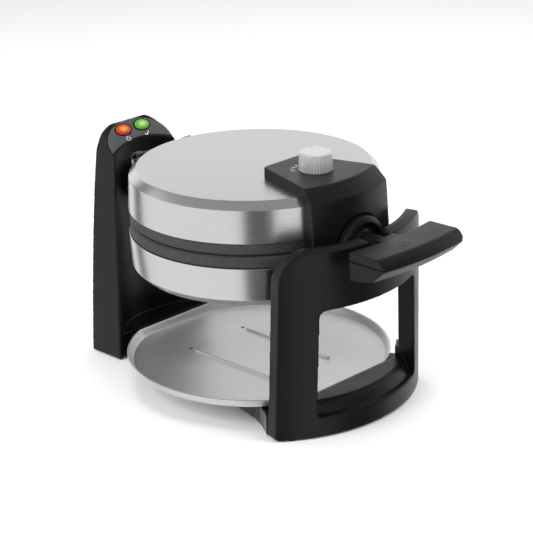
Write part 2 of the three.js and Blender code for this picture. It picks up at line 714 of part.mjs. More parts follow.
function towerFront(inset) {
  const arch = [
    [TOWER_FOOT_X, 0],
    [TOWER_TOP_X, PANEL_Z],
    [33.8, 189.4],
    [30.2, 194.8],
    [25, 199.4],
    [17.8, 203.2],
    [10, 204.8],
    [0, TOWER_TOP],
  ];
  const right = arch.map(([x, z]) => [Math.max(x - inset, 0), z - (z > 185 ? inset : 0)]);
  const left = right.slice(0, -1).map(([x, z]) => [-x, z]).reverse();
  const points = [...right, ...left];
  points[0][1] = -5;
  points[points.length - 1][1] = -5;
  return outline(points);
}

function scoop(grow) {
  const z0 = LEDGE_Z - grow;
  const z1 = 230;
  const slope = (89.8 - 75.1) / (189 - LEDGE_Z);
  const r0 = 75.1 + grow - slope * (LEDGE_Z - z0);
  const r1 = r0 + slope * (z1 - z0);
  const g = new THREE.CylinderGeometry(r1, r0, z1 - z0, 72);
  g.rotateX(Math.PI / 2);
  g.translate(0, 0, (z0 + z1) / 2);
  const shift = (55.5 - 66.4) / (189 - LEDGE_Z);
  const y0 = 66.4 - shift * LEDGE_Z;
  g.applyMatrix4(new THREE.Matrix4().set(1, 0, 0, 0, 0, 1, shift, y0, 0, 0, 1, 0, 0, 0, 0, 1));
  return solid(g);
}

function towerBody(inset) {
  const across = extrude(towerSide(inset), 'x', -80, 80, 6);
  const along = extrude(towerFront(inset), 'y', 100, 180);
  return across.intersect(along).subtract(scoop(inset));
}

const towerShell = towerBody(0).subtract(towerBody(TOWER_WALL));
const shaftBore = cylinder('y', 13.3, 130, 157, [0, 0, AXIS_Z], 24);
const SPLIT_Z = AXIS_Z;
const lowerZone = box(-80, 80, 90, 180, 0, SPLIT_Z - GAP / 2);
const upperZone = box(-80, 80, 90, 180, SPLIT_Z + GAP / 2, 230);

const REAR_SLOPE = (159.4 - 154) / (110 - 25);
function rearPlate(x, z0, z1, grow) {
  const y = (z) => 151.6 + REAR_SLOPE * z;
  const points = [
    [y(z0) - 1.4, z0],
    [y(z0) + 6, z0],
    [y(z1) + 6, z1],
    [y(z1) - 1.4, z1],
  ];
  return extrude(outline(points), 'x', -x - grow, x + grow);
}

const rearOpening = rearPlate(32, 24, 128, 0);
let towerLow = towerShell.intersect(lowerZone).subtract(shaftBore).subtract(rearOpening);
for (const name of ['rear_left_foot', 'rear_right_foot']) {
  const [x, y] = FEET[name];
  towerLow = towerLow.subtract(footPocket(x, y));
  const post = cylinder('z', 7.5, BASE_Z, LEDGE_Z - 1, [x, y, 0], 20).subtract(footPocket(x, y));
  towerLow = towerLow.add(post.intersect(towerBody(0.05)));
}
add('tower_shell', towerLow, BLACK);
const towerPlan = towerBody(0);
const rearCover = rearPlate(32 - GAP, 24 + GAP, 128 - GAP, 0)
  .intersect(towerPlan)
  .subtract(cylinder('y', 6.3, 140, 170, [0, 0, 40], 24));
add('tower_rear_cover', rearCover, BLACK);

// ---- stand: sloped lamp panel ---------------------------------------------------------
const SLOPE = Math.PI / 4;
const PANEL_T = 1.6;
// Turns a solid drawn flat, with its upper face at z = 0, onto the sloped panel.
function ontoPanel(shape) {
  const g = geometryOf(shape);
  g.rotateX(SLOPE);
  g.translate(0, TOWER_FRONT_HIGH, PANEL_Z);
  return solid(g);
}

function panelOutline(inset) {
  const s = new THREE.Shape();
  const w = TOWER_TOP_X - inset;
  const top = (TOWER_TOP - PANEL_Z) / Math.sin(SLOPE) - inset - 0.6;
  const corner = 1 + inset * 2.2;
  const bend = 10 + inset * 1.6;
  const low = 11 + inset * 1.2;
  s.moveTo(-w, corner);
  s.quadraticCurveTo(-w + 6, bend, -14, low);
  s.lineTo(14, low);
  s.quadraticCurveTo(w - 6, bend, w, corner);
  s.bezierCurveTo(w - 4, 17, w - 10, top - 4, 10, top - 0.5);
  s.lineTo(-10, top - 0.5);
  s.bezierCurveTo(-w + 10, top - 4, -w + 4, 17, -w, corner);
  return s;
}

const LAMP_V = (153.4 - TOWER_FRONT_HIGH) / Math.cos(SLOPE);
const lampAt = { power_lamp: -LAMP_X, ready_lamp: LAMP_X };
let panel = extrude(panelOutline(1.4), 'z', -PANEL_T, 0, 6);
let towerCap = towerShell.intersect(upperZone).subtract(shaftBore)
  .subtract(ontoPanel(extrude(panelOutline(0.6), 'z', -PANEL_T - GAP, 4, 6)));
for (const x of Object.values(lampAt)) {
  panel = panel.subtract(cylinder('z', LAMP_R + GAP, -5, 5, [x, LAMP_V, 0], 32));
  const bore = cylinder('z', LAMP_R + GAP, -5, 5, [x, LAMP_V, 0], 32);
  towerCap = towerCap.subtract(ontoPanel(bore));
}
add('tower_cap', towerCap, BLACK);
add('lamp_panel', ontoPanel(panel), GREY);

function lampLens(x) {
  const dome = new THREE.SphereGeometry(LAMP_R * 1.5, 32, 16);
  dome.translate(0, 0, 1.6 - LAMP_R * 1.5);
  const keep = cylinder('z', LAMP_R, -7, 4, [0, 0, 0], 32);
  const body = solid(dome).intersect(keep).subtract(box(-20, 20, -20, 20, -30, -4.6));
  return ontoPanel(body.translate([x, LAMP_V, 0]));
}
add('power_lamp', lampLens(lampAt.power_lamp), LAMP_RED);
add('ready_lamp', lampLens(lampAt.ready_lamp), LAMP_GREEN);
const lampBoard = box(-18, 18, LAMP_V - 8, LAMP_V - 1, -7.2, -5.8);
add('lamp_board', ontoPanel(lampBoard), BOARD);

// ---- stand: rear bearing, cord gland and fasteners ------------------------------------
const bushBody = cylinder('y', 13, 138, 155, [0, 0, AXIS_Z], 24)
  .add(cylinder('y', 16.5, 135, 138.5, [0, 0, AXIS_Z], 24))
  .subtract(cylinder('y', SHAFT_R + GAP, 130, 160, [0, 0, AXIS_Z], 24));
add('pivot_bush', bushBody, NYLON);
const clip = cylinder('y', 11, 156.8, 157.7, [0, 0, AXIS_Z], 32)
  .subtract(cylinder('y', SHAFT_R - 0.5, 150, 170, [0, 0, AXIS_Z], 32))
  .subtract(box(-3, 3, 150, 170, AXIS_Z + 2, AXIS_Z + 20));
add('pivot_clip', clip, BARE_STEEL);

const gland = cylinder('y', 6, 149.5, 157, [0, 0, 40], 24)
  .add(cylinder('y', 8, 156.6, 160, [0, 0, 40], 24, 6.5))
  .add(cylinder('y', 8, 148.6, 151.4, [0, 0, 40], 24))
  .subtract(cylinder('y', 3.6, 140, 170, [0, 0, 40], 24));
add('cord_gland', gland, RUBBER);

export default part;
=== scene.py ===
"""Looks of a rotary waffle maker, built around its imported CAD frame.

Shapes are drawn in millimetres: x across the head, y from the middle of the round head (the
handle is at -y, the post at +y) and z up from the ground. settle() moves them into the frame.
"""
import math

import bmesh
import bpy
from mathutils import Matrix, Vector


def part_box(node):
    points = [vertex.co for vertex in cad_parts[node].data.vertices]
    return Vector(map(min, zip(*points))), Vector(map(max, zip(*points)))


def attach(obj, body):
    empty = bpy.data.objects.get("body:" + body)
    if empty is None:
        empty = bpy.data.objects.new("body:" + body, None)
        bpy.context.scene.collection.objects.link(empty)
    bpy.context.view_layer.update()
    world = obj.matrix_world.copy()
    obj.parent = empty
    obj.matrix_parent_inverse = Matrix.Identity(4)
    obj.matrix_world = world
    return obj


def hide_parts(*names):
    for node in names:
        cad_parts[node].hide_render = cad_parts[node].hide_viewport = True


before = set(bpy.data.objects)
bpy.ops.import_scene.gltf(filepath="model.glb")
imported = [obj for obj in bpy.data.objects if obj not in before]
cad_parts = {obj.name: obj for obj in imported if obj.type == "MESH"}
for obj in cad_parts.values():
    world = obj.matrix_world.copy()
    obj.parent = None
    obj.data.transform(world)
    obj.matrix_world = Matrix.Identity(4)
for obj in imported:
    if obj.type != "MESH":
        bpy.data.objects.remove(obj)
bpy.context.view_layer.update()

# ---- places and driving dimensions, in millimetres ------------------------------------------
MM = 0.001


def node_box(name):
    low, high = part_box(name)
    return low / MM, high / MM


plate_low, plate_high = node_box("lower_plate")
shaft_low, shaft_high = node_box("pivot_shaft")
HEAD_Y = (plate_low.y + plate_high.y) / 2
AXIS_Z = (shaft_low.z + shaft_high.z) / 2

HEAD_H = 44.9          # parting plane to the face of the disc
BEVEL_H = 38.4         # parting plane to the foot of the bevel
RIM_H = 10.4           # parting plane to the edge of the steel wall
DISC_R = 100
BEVEL_R = 106.5
WALL_R = 108
PLATE_R = 107

COVER_R = 121          # front covers at the parting plane
COVER_TOP_R = 118.5    # at the foot of their bevel
COVER_EDGE_R = 108     # at the top of that bevel
COVER_H = 53.8
COVER_BEVEL_H = 42.5
COVER_ROOT = 2.4       # depth of the covers' edges below the steel
PAD_REAR_Y = -33
PAD_REAR_HALF = 23
PAD_FRONT_HALF = 42.6
COVER_HALF = 46        # half width of the front covers at the parting plane

REAR_HALF = 46.5       # half width of the rear covers
REAR_RISE = 38.6       # and their reach above and below the parting plane

KNOB_Y = -72
KNOB_R = 14.2

FRAME_Y = -10          # centre of the curved front frame
FRAME_OUT = 132
FRAME_IN = 121.5
LINER_IN = 116         # inner face of the legs beside the window
FRAME_FOOT = 90.5      # half width at the ground
FRAME_TOP_HALF = 85
FRAME_TAPER = 0.003    # the legs' sides draw in towards the rear by this much per mm
FRAME_FRONT_Z = 161
FRAME_BACK_Z = 165
WINDOW_LOW = 18
WINDOW_HIGH = 111
RIDGE_R = 119
RIDGE_Z = 28.6
GROUND_GAP = 1         # the mouldings stand this far up on their rubber feet

TOWER_FOOT_HALF = 62.5
TOWER_TOP_HALF = 36.6
PANEL_Z = 181.6        # lower corners of the sloped lamp panel
PANEL_Y = 137.5
TOWER_TOP = 205.2
TOWER_BACK = 163.4
LEDGE_Z = 23
LAMP_X = 11.1
LAMP_R = 6.7           # drawn round, then widened to an oval
LAMP_WIDE = 1.24
LAMP_LOW = 0.79
PANEL_TILT = math.radians(45)
LAMP_V = (153.4 - PANEL_Y) / math.cos(PANEL_TILT)   # up the slope from the panel's corners

HUB_R = 25
NECK_R = 11.6
GRIP_HALF = 49.5
GRIP_REAR = -152
GRIP_FRONT = -189.5
GRIP_BOW = 4.2         # how far the middle of the grip stands forward of its ends
GRIP_TOP = AXIS_Z + 15.6
GRIP_SPLIT = AXIS_Z + 7.3
GRIP_BOTTOM = AXIS_Z - 9.6

TRAY_R = 115.3
TRAY_FLOOR_R = 110.8
TRAY_BOTTOM = 18.8
TRAY_RIM = 27.1
TRAY_T = 0.9
TRAY_FRONT = -105.5
TRAY_REAR = 105.5
FLAP_STEEP = 0.35      # lean of the flat edges compared with the round ones
RIB_X = 32.2
RIB_FRONT = -54
RIB_REAR = 47


# ---- shape helpers ------------------------------------------------------------------------------
def link(name, mesh):
    obj = bpy.data.objects.new(name, mesh)
    bpy.context.scene.collection.objects.link(obj)
    return obj


def solid(name, verts, faces):
    bm = bmesh.new()
    made = [bm.verts.new(v) for v in verts]
    for face in faces:
        bm.faces.new([made[i] for i in face])
    bmesh.ops.recalc_face_normals(bm, faces=bm.faces[:])
    mesh = bpy.data.meshes.new(name)
    bm.to_mesh(mesh)
    bm.free()
    return link(name, mesh)


def place(axis, a, b, c):
    """(y, z) outlines stand along x, (x, z) along y and (x, y) along z."""
    return {"x": (c, a, b), "y": (a, c, b), "z": (a, b, c)}[axis]


def extrude(name, outline, axis, low, high):
    count = len(outline)
    verts = [place(axis, a, b, low) for a, b in outline]
    verts += [place(axis, a, b, high) for a, b in outline]
    faces = [list(range(count)), list(range(count, 2 * count))]
    for i in range(count):
        j = (i + 1) % count
        faces.append([i, j, count + j, count + i])
    return solid(name, verts, faces)


def block(name, x0, x1, y0, y1, z0, z1):
    return extrude(name, [(x0, y0), (x1, y0), (x1, y1), (x0, y1)], "z", z0, z1)


def lathe(name, profile, steps=192, at=(0, 0, 0), axis="z"):
    """Turns a closed profile of (radius, height) points around an axis through `at`."""
    verts, rings = [], []
    for r, h in profile:
        if abs(r) < 1e-6:
            rings.append([len(verts)] * steps)
            verts.append(place(axis, 0, 0, h))
            continue
        rings.append(list(range(len(verts), len(verts) + steps)))
        for k in range(steps):
            turn = 2 * math.pi * k / steps
            verts.append(place(axis, r * math.cos(turn), r * math.sin(turn), h))
    faces = []
    for i, ring in enumerate(rings):
        other = rings[(i + 1) % len(rings)]
        for k in range(steps):
            n = (k + 1) % steps
            corners = list(dict.fromkeys([ring[k], ring[n], other[n], other[k]]))
            if len(corners) > 2:
                faces.append(corners)
    verts = [tuple(Vector(v) + Vector(at)) for v in verts]
    return solid(name, verts, faces)


def rod(name, axis, r0, r1, low, high, at=(0, 0, 0), steps=96):
    return lathe(name, [(0, low), (r0, low), (r1, high), (0, high)], steps, at, axis)


def rounded(corners, steps=6):
    """The closed outline through corners (a, b, radius), with each corner rounded."""
    points = []
    for i, (a, b, r) in enumerate(corners):
        here = Vector((a, b))
        if r <= 0:
            points.append((a, b))
            continue
        back = Vector(corners[i - 1][:2]) - here
        ahead = Vector(corners[(i + 1) % len(corners)][:2]) - here
        half = back.angle(ahead) / 2
        reach = min(r / math.tan(half), back.length * 0.49, ahead.length * 0.49)
        radius = reach * math.tan(half)
        middle = here + (back.normalized() + ahead.normalized()).normalized() * (
            radius / math.sin(half))
        start = here + back.normalized() * reach - middle
        end = here + ahead.normalized() * reach - middle
        sweep = start.angle_signed(end)
        for k in range(steps + 1):
            arm = start.copy()
            arm.rotate(Matrix.Rotation(-sweep * k / steps, 2))
            points.append(tuple(middle + arm))
    return points


def settled_mesh(obj):
    """The object's mesh with its modifiers worked in."""
    evaluated = obj.evaluated_get(bpy.context.evaluated_depsgraph_get())
    mesh = bpy.data.meshes.new_from_object(evaluated)
    obj.modifiers.clear()
    obj.data = mesh
    return obj


def combine(obj, other, how):
    cut = obj.modifiers.new("combine", "BOOLEAN")
    cut.operation = how
    cut.solver = "MANIFOLD"
    cut.object = other
    settled_mesh(obj)
    bpy.data.objects.remove(other)
    return obj


def join(obj, *others):
    for other in others:
        combine(obj, other, "UNION")
    return obj


def cut(obj, *others):
    for other in others:
        combine(obj, other, "DIFFERENCE")
    return obj


def meet(obj, *others):
    for other in others:
        combine(obj, other, "INTERSECT")
    return obj


def mould(obj, voxel=0.8, rounds=6):
    """Rounds every edge a little, as on a moulding."""
    remesh = obj.modifiers.new("remesh", "REMESH")
    remesh.mode = "VOXEL"
    remesh.voxel_size = voxel
    remesh.adaptivity = 0
    smooth = obj.modifiers.new("smooth", "SMOOTH")
    smooth.factor = 0.5
    smooth.iterations = rounds
    return settled_mesh(obj)


def bevel(obj, width, segments=3, angle=30):
    edge = obj.modifiers.new("bevel", "BEVEL")
    edge.width = width
    edge.segments = segments
    edge.limit_method = "ANGLE"
    edge.angle_limit = math.radians(angle)
    return settled_mesh(obj)


def flipped(obj, name):
    """A copy turned half round the flip axis: an upper piece becomes its lower twin."""
    mesh = obj.data.copy()
    turn = Matrix.Rotation(math.pi, 4, "Y")
    shift = Matrix.Translation((0, 0, AXIS_Z))
    mesh.transform(shift @ turn @ shift.inverted())
    return link(name, mesh)


def cad_copy(node, name):
    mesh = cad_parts[node].data.copy()
    mesh.transform(Matrix.Translation((0, -HEAD_Y, 0)) @ Matrix.Scale(1 / MM, 4))
    obj = link(name, mesh)
    bm = bmesh.new()
    bm.from_mesh(mesh)
    bmesh.ops.remove_doubles(bm, verts=bm.verts[:], dist=1e-4)
    bm.to_mesh(mesh)
    bm.free()
    return obj


def settle(obj, body, material, slot, *nodes, flat=False):
    """Moves a finished piece from the drawing's millimetres into the frame."""
    obj.data.transform(Matrix.Scale(MM, 4) @ Matrix.Translation((0, HEAD_Y, 0)))
    obj.data.materials.clear()
    obj.data.materials.append(material)
    for face in obj.data.polygons:
        face.use_smooth = not flat
    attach(obj, body)
    if nodes:
        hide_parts(*nodes)
    return obj


def smooth_by_angle(obj, degrees=35):
    mesh = obj.data
    limit = math.radians(degrees)
    bm = bmesh.new()
    bm.from_mesh(mesh)
    for edge in bm.edges:
        edge.smooth = len(edge.link_faces) != 2 or edge.calc_face_angle(0) < limit
    bm.to_mesh(mesh)
    bm.free()
    return obj


# ---- materials ----------------------------------------------------------------------------------
def shader(name, color, metallic, roughness, specular=0.5):
    material = bpy.data.materials.new(name)
    material.use_nodes = True
    bsdf = material.node_tree.nodes["Principled BSDF"]
    bsdf.inputs["Base Color"].default_value = (*color, 1)
    bsdf.inputs["Metallic"].default_value = metallic
    bsdf.inputs["Roughness"].default_value = roughness
    bsdf.inputs["Specular IOR Level"].default_value = specular
    return material, material.node_tree, bsdf


def noise(tree, scale, detail=3, stretch=(1, 1, 1), turn=(0, 0, 0)):
    """Noise over the object's own coordinates, in metres."""
    coords = tree.nodes.new("ShaderNodeTexCoord")
    mapping = tree.nodes.new("ShaderNodeMapping")
    mapping.inputs["Scale"].default_value = stretch
    mapping.inputs["Rotation"].default_value = turn
    texture = tree.nodes.new("ShaderNodeTexNoise")
    texture.inputs["Scale"].default_value = scale
    texture.inputs["Detail"].default_value = detail
    tree.links.new(coords.outputs["Object"], mapping.inputs["Vector"])
    tree.links.new(mapping.outputs["Vector"], texture.inputs["Vector"])
    return texture.outputs["Fac"]


def spread(tree, value, low, high):
    """Maps a noise value onto a range."""
    mapped = tree.nodes.new("ShaderNodeMapRange")
    mapped.inputs["From Min"].default_value = 0.3
    mapped.inputs["From Max"].default_value = 0.7
    mapped.inputs["To Min"].default_value = low
    mapped.inputs["To Max"].default_value = high
    tree.links.new(value, mapped.inputs["Value"])
    return mapped.outputs["Result"]


def tint(tree, value, dark, light):
    ramp = tree.nodes.new("ShaderNodeValToRGB")
    ramp.color_ramp.elements[0].position = 0.3
    ramp.color_ramp.elements[0].color = (*dark, 1)
    ramp.color_ramp.elements[1].position = 0.7
    ramp.color_ramp.elements[1].color = (*light, 1)
    tree.links.new(value, ramp.inputs["Fac"])
    return ramp.outputs["Color"]


def bump(tree, bsdf, value, strength, depth):
    node = tree.nodes.new("ShaderNodeBump")
    node.inputs["Strength"].default_value = strength
    node.inputs["Distance"].default_value = depth
    tree.links.new(value, node.inputs["Height"])
    tree.links.new(node.outputs["Normal"], bsdf.inputs["Normal"])


def moulded(name, color, roughness, specular=0.35, grain=2600, strength=0.12):
    """Moulded plastic or rubber: fine spark-eroded grain and a slightly uneven sheen."""
    material, tree, bsdf = shader(name, color, 0, roughness, specular)
    cloud = noise(tree, 38, 4)
    tree.links.new(spread(tree, cloud, roughness - 0.05, roughness + 0.06), bsdf.inputs["Roughness"])
    darker = tuple(c * 0.86 for c in color)
    lighter = tuple(c * 1.14 for c in color)
    tree.links.new(tint(tree, noise(tree, 420, 2), darker, lighter), bsdf.inputs["Base Color"])
    bump(tree, bsdf, noise(tree, grain, 2), strength, 0.00012)
    return material


def brushed(name, color, roughness, stretch, anisotropy=0, around=False, strength=0.05):
    """Steel with fine brush marks. stretch is largest across the marks."""
    material, tree, bsdf = shader(name, color, 1, roughness)
    marks = noise(tree, 1, 4, stretch)
    tree.links.new(spread(tree, marks, roughness - 0.03, roughness + 0.04), bsdf.inputs["Roughness"])
    darker = tuple(c * 0.95 for c in color)
    lighter = tuple(min(c * 1.03, 1) for c in color)
    tree.links.new(tint(tree, marks, darker, lighter), bsdf.inputs["Base Color"])
    bump(tree, bsdf, marks, strength, 0.00008)
    if anisotropy:
        bsdf.inputs["Anisotropic"].default_value = anisotropy
    if around:
        tangent = tree.nodes.new("ShaderNodeTangent")
        tangent.direction_type = "RADIAL"
        tangent.axis = "Z"
        bsdf.inputs["Anisotropic Rotation"].default_value = 0.25
        tree.links.new(tangent.outputs["Tangent"], bsdf.inputs["Tangent"])
    return material


def cast(name, color):
    """Cast aluminium under a speckled non-stick coating."""
    material, tree, bsdf = shader(name, color, 0.1, 0.55, 0.4)
    speckle = noise(tree, 1500, 2)
    lighter = tuple(c * 2.3 for c in color)
    tree.links.new(tint(tree, speckle, tuple(c * 0.6 for c in color), lighter),
                   bsdf.inputs["Base Color"])
    bump(tree, bsdf, speckle, 0.25, 0.00015)
    return material


def lamp(name, rim, core, glow, x):
    """A lit lens: its colour deepens from the middle to the rim, with a fine speckle."""
    material, tree, bsdf = shader(name, rim, 0, 0.22)
    coords = tree.nodes.new("ShaderNodeTexCoord")
    centre = tree.nodes.new("ShaderNodeVectorMath")
    centre.operation = "SUBTRACT"
    v = Vector((x, PANEL_Y + LAMP_V * math.cos(PANEL_TILT) + HEAD_Y,
                PANEL_Z + LAMP_V * math.sin(PANEL_TILT))) * MM
    centre.inputs[1].default_value = v
    tree.links.new(coords.outputs["Object"], centre.inputs[0])
    shares = tree.nodes.new("ShaderNodeVectorMath")
    shares.operation = "MULTIPLY"
    wide, low = LAMP_R * MM * LAMP_WIDE, LAMP_R * MM * LAMP_LOW
    shares.inputs[1].default_value = (1 / wide, 1 / low, 1 / low)
    tree.links.new(centre.outputs["Vector"], shares.inputs[0])
    part = tree.nodes.new("ShaderNodeVectorMath")
    part.operation = "LENGTH"
    tree.links.new(shares.outputs["Vector"], part.inputs[0])
    speckle = tree.nodes.new("ShaderNodeMath")
    speckle.operation = "MULTIPLY_ADD"
    speckle.inputs[1].default_value = 0.45
    speckle.inputs[2].default_value = -0.22
    tree.links.new(noise(tree, 1500, 1), speckle.inputs[0])
    both = tree.nodes.new("ShaderNodeMath")
    tree.links.new(part.outputs["Value"], both.inputs[0])
    tree.links.new(speckle.outputs["Value"], both.inputs[1])
    color = tint(tree, both.outputs["Value"], core, rim)
    tree.links.new(color, bsdf.inputs["Base Color"])
    tree.links.new(color, bsdf.inputs["Emission Color"])
    bsdf.inputs["Emission Strength"].default_value = glow
    return material


BLACK = moulded("black plastic", (0.0048, 0.0050, 0.0056), 0.33, 0.32)
GREY = moulded("grey plastic", (0.060, 0.062, 0.066), 0.48, 0.4)
RUBBER = moulded("rubber", (0.012, 0.012, 0.012), 0.8, 0.3, 1200, 0.3)
NYLON = moulded("nylon", (0.022, 0.022, 0.024), 0.5)
BOARD = moulded("circuit board", (0.03, 0.15, 0.06), 0.45)
MARK = moulded("printed mark", (0.72, 0.72, 0.72), 0.5)
SLOT_DARK = moulded("recess", (0.004, 0.004, 0.004), 0.7, 0.2)
DISC_STEEL = brushed("brushed disc", (0.80, 0.81, 0.79), 0.34, (60, 3200, 3200))
WALL_STEEL = brushed("brushed wall", (0.80, 0.81, 0.80), 0.27, (30, 30, 5200), 0.7, True, 0.02)
TRAY_STEEL = brushed("tray steel", (0.78, 0.79, 0.78), 0.40, (900, 900, 900), strength=0.02)
TRAY_STEEL.node_tree.nodes["Principled BSDF"].inputs["Metallic"].default_value = 0.8
BARE_STEEL = brushed("bare steel", (0.45, 0.46, 0.47), 0.35, (60, 2500, 2500))
ALUMINIUM = brushed("aluminium", (0.70, 0.70, 0.71), 0.38, (700, 700, 700))
HEATER = brushed("heater sheath", (0.22, 0.20, 0.18), 0.55, (500, 500, 500))
BRASS = brushed("brass", (0.62, 0.46, 0.20), 0.35, (800, 800, 800))
SILVER = brushed("silver plastic", (0.56, 0.57, 0.57), 0.34, (300, 300, 300), strength=0.02)
SILVER.node_tree.nodes["Principled BSDF"].inputs["Metallic"].default_value = 0.45
CAST = cast("cast plate", (0.030, 0.031, 0.033))
RED = lamp("red lamp", (0.40, 0.035, 0.008), (0.60, 0.28, 0.05), 0.16, -LAMP_X)
GREEN = lamp("green lamp", (0.07, 0.28, 0.03), (0.44, 0.54, 0.15), 0.16, LAMP_X)


# ---- head -----------------------------------------------------------------------------------------
def steel_housing(name):
    """The steel pan over one half of the head, with softly bent edges."""
    wall = 1.2
    outside = rounded([
        (0, AXIS_Z + HEAD_H, 0),
        (DISC_R, AXIS_Z + HEAD_H, 2.2),
        (BEVEL_R, AXIS_Z + BEVEL_H, 2.0),
        (WALL_R, AXIS_Z + RIM_H + 0.3, 0.4),
        (WALL_R - wall, AXIS_Z + RIM_H + 0.3, 0.4),
        (BEVEL_R - wall, AXIS_Z + BEVEL_H - 0.5, 1.5),
        (DISC_R - 0.5, AXIS_Z + HEAD_H - wall, 1.5),
        (0, AXIS_Z + HEAD_H - wall, 0),
    ], 5)
    return lathe(name, outside, 256)


def assign_disc(obj):
    """The flat face is brushed straight, and the wall and bevel are brushed around."""
    obj.data.materials.append(DISC_STEEL)
    for face in obj.data.polygons:
        if abs(face.normal.z) > 0.97:
            face.material_index = 1


def waffle_plate(name):
    """Lower plate, face up: pegs in rows, four quarters and a raised rim."""
    top = AXIS_Z - 0.4
    deck = top - 12
    profile = rounded([
        (0, deck - 3, 0),
        (97, deck - 3, 1),
        (99, AXIS_Z - RIM_H, 1),
        (PLATE_R, AXIS_Z - RIM_H, 0.6),
        (PLATE_R, top - 1.6, 1.2),
        (PLATE_R - 1.6, top, 0.6),
        (98.5, top, 1.5),
        (96, deck, 2.5),
        (0, deck, 0),
    ], 4)
    plate = lathe(name, profile, 192)
    pitch = 19
    quarter_gap = 2
    peg_low, peg_high, peg_h = 6.7, 5.1, 9.5
    reach = 88
    for i in range(-4, 4):
        for j in range(-4, 4):
            x = (i + 0.5) * pitch + math.copysign(quarter_gap, i + 0.5)
            y = (j + 0.5) * pitch + math.copysign(quarter_gap, j + 0.5)
            if math.hypot(x, y) > reach:
                continue
            corners = []
            for half, z in ((peg_low, deck - 0.5), (peg_high, deck + peg_h)):
                corners += [(x - half, y - half, z), (x + half, y - half, z),
                            (x + half, y + half, z), (x - half, y + half, z)]
            peg = solid("peg", corners, [(0, 1, 2, 3), (4, 5, 6, 7), (0, 1, 5, 4), (1, 2, 6, 5),
                                         (2, 3, 7, 6), (3, 0, 4, 7)])
            join(plate, bevel(peg, 1.4, 3))
    bar = 2.2
    for hx, hy in ((95, bar), (bar, 95)):
        ridge = block("ridge", -hx, hx, -hy, hy, deck - 1, top - 3)
        join(plate, bevel(ridge, 1.0, 2))
    return plate


def cover_wedge(name, grow, z0, z1):
    """Plan of the pad and cover: narrow at the rear, wider to the front."""
    front = -COVER_R - 20
    slope = (PAD_FRONT_HALF - PAD_REAR_HALF) / (99.4 + PAD_REAR_Y)
    wide_y = PAD_REAR_Y - (COVER_HALF - PAD_REAR_HALF) / slope
    half = COVER_HALF + grow
    return extrude(name, rounded([
        (-half, front, 0),
        (half, front, 0),
        (half, wide_y, 6),
        (PAD_REAR_HALF + grow, PAD_REAR_Y + grow, 6),
        (-PAD_REAR_HALF - grow, PAD_REAR_Y + grow, 6),
        (-half, wide_y, 6),
    ]), "z", z0, z1)


def front_cover(name):
    """Black cover over the front of the lid, with the flat pad that carries the knob."""
    low = AXIS_Z + 0.3
    profile = rounded([
        (0, low, 0),
        (COVER_R, low, 0),
        (COVER_TOP_R, AXIS_Z + COVER_BEVEL_H, 4),
        (COVER_EDGE_R, AXIS_Z + COVER_H, 3),
        (0, AXIS_Z + COVER_H, 0),
    ], 8)
    cover = meet(cover_wedge(name, 0, low, 230), lathe("turned", profile, 256))
    room = rounded([
        (0, low - 2, 0),
        (WALL_R - COVER_ROOT, low - 2, 0),
        (BEVEL_R - COVER_ROOT, AXIS_Z + BEVEL_H - COVER_ROOT, 1),
        (DISC_R - COVER_ROOT, AXIS_Z + HEAD_H - COVER_ROOT, 1),
        (0, AXIS_Z + HEAD_H - COVER_ROOT, 0),
    ])
    cut(cover, lathe("room", room, 192))
    seat = rod("seat", "y", HUB_R + 0.5, HUB_R + 0.5, -160, -COVER_R + 4, (0, 0, AXIS_Z))
    return mould(cut(cover, seat), 0.7, 12)


def pad_marks():
    """Browning scale: short printed strokes round the rear of the knob."""
    strokes = []
    top = AXIS_Z + COVER_H
    count, first, step = 6, 68, 14.6
    for k in range(count):
        turn = math.radians(first + step * k)
        radial = Vector((math.cos(turn), math.sin(turn), 0))
        side = Vector((-radial.y, radial.x, 0))
        inner, outer, half = 16.8, 20.6 + 0.5 * (count - 1 - k), 0.32
        middle = Vector((0, KNOB_Y, 0))
        ends = [middle + radial * r + side * s for r, s in
                ((inner, -half), (outer, -half), (outer, half), (inner, half))]
        outline = [(v.x, v.y) for v in ends]
        strokes.append(extrude("stroke", outline, "z", top - 0.3, top + 0.08))
    return merge("browning_scale", strokes)


def merge(name, objects):
    """One object that holds several separate closed solids."""
    bm = bmesh.new()
    for obj in objects:
        bm.from_mesh(obj.data)
        bpy.data.objects.remove(obj)
    mesh = bpy.data.meshes.new(name)
    bm.to_mesh(mesh)
    bm.free()
    return link(name, mesh)


def browning_knob(name):
    flutes = 38
    depth = 0.75
    outline = []
    for k in range(flutes * 4):
        turn = 2 * math.pi * k / (flutes * 4)
        r = KNOB_R - depth * (0.5 - 0.5 * math.cos(flutes * turn))
        outline.append((r * math.cos(turn), r * math.sin(turn) + KNOB_Y))
    gap, height = 0.35, 15.9
    low = AXIS_Z + COVER_H + gap
    high = low + height
    knob = extrude(name, outline, "z", low, high)
    crown = rounded([
        (0, low, 0),
        (KNOB_R + 0.1, low, 0.5),
        (KNOB_R - 0.5, high - 1.2, 0.8),
        (KNOB_R - 1.7, high, 0.8),
        (0, high, 0),
    ])
    meet(knob, lathe("crown", crown, 240, (0, KNOB_Y, 0)))
    pointer = block("pointer", -0.5, 0.5, 5, KNOB_R - 2.2, high - 0.3, high + 1)
    pointer.data.transform(Matrix.Translation((0, KNOB_Y, 0)) @ Matrix.Rotation(-0.4, 4, "Z"))
    return cut(knob, pointer)


